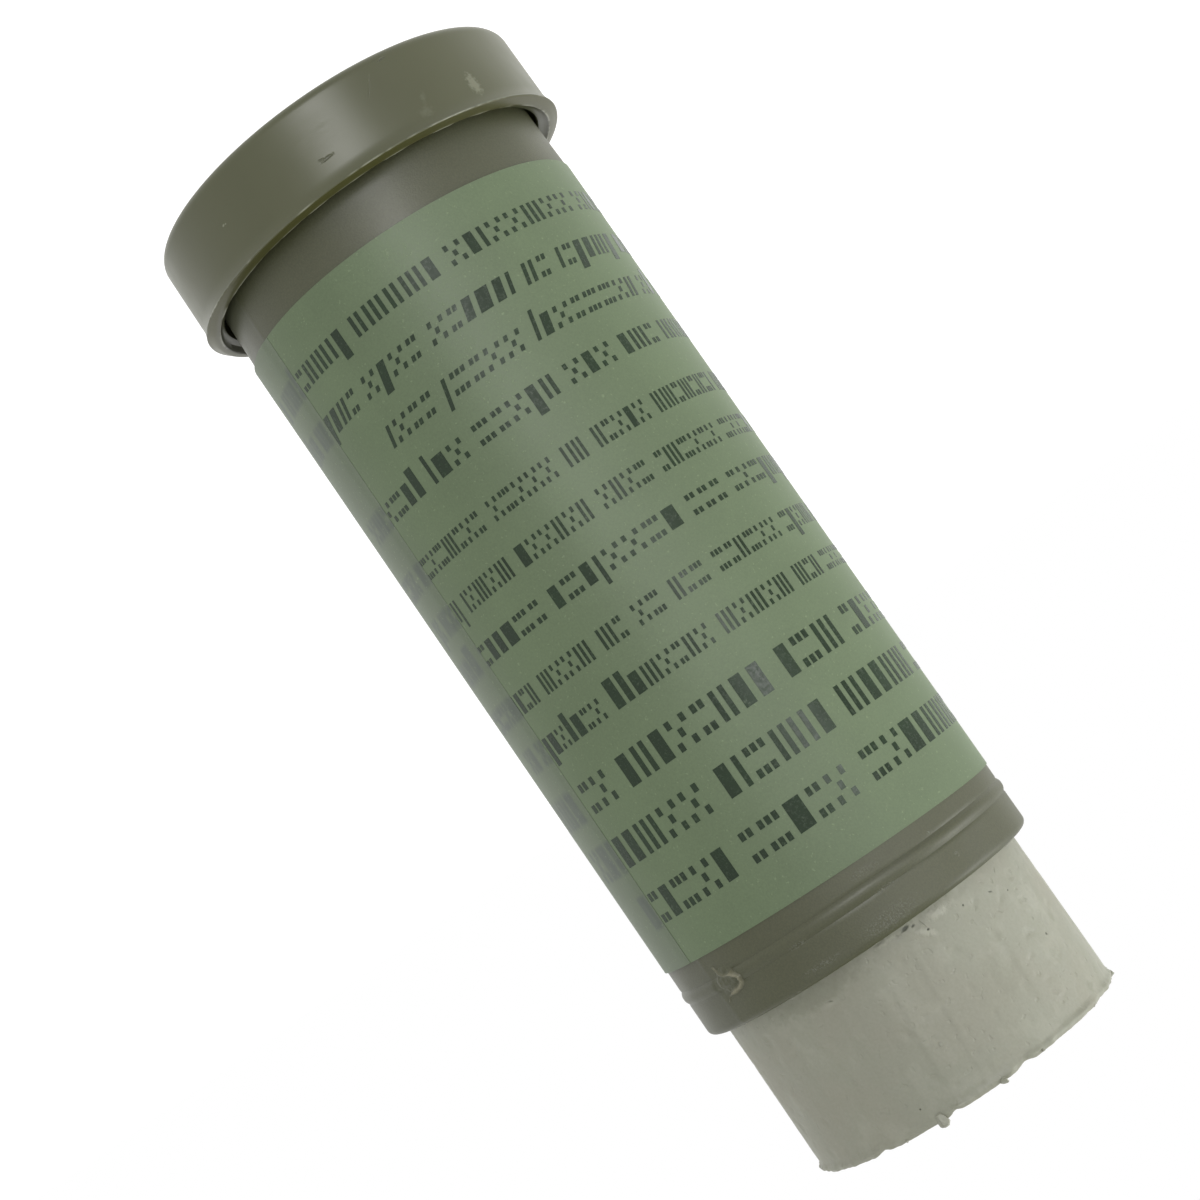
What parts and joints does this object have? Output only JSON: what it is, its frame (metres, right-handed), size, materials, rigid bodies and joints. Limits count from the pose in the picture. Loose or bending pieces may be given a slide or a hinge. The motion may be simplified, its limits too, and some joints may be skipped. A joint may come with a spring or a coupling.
{
  "type": "face paint stick",
  "caption": "Round stick of waxy face paint pushed out of an open plastic tube with a wrapped label, standing on its push-on cap.",
  "frame": {"origin": "centre of the cap's flat outer face, on which the stick stands", "axes": "+Z along the tube's axis, from the cap to the paint end; -Y is the side that the picture shows"},
  "size_m": [0.0286, 0.0286, 0.0753],
  "materials": {
    "cap": "satin moulded polyethylene, olive",
    "tube": "matt moulded polyethylene, greyer olive",
    "label": "satin printed film, mid green",
    "paint": "waxy paint, pale grey-green"
  },
  "bodies": {
    "barrel": {"tube": "tube", "label": "label"},
    "cap": {"cap": "cap"},
    "paint": {"paint_stick": "paint"}
  },
  "joints": [
    {"name": "cap_pull", "type": "slide", "parent": "barrel", "child": "cap", "axis": [0, 0, -1], "range_m": [0, 0.012]},
    {"name": "paint_push", "type": "slide", "parent": "barrel", "child": "paint", "axis": [0, 0, 1], "range_m": [-0.01, 0.04]}
  ]
}
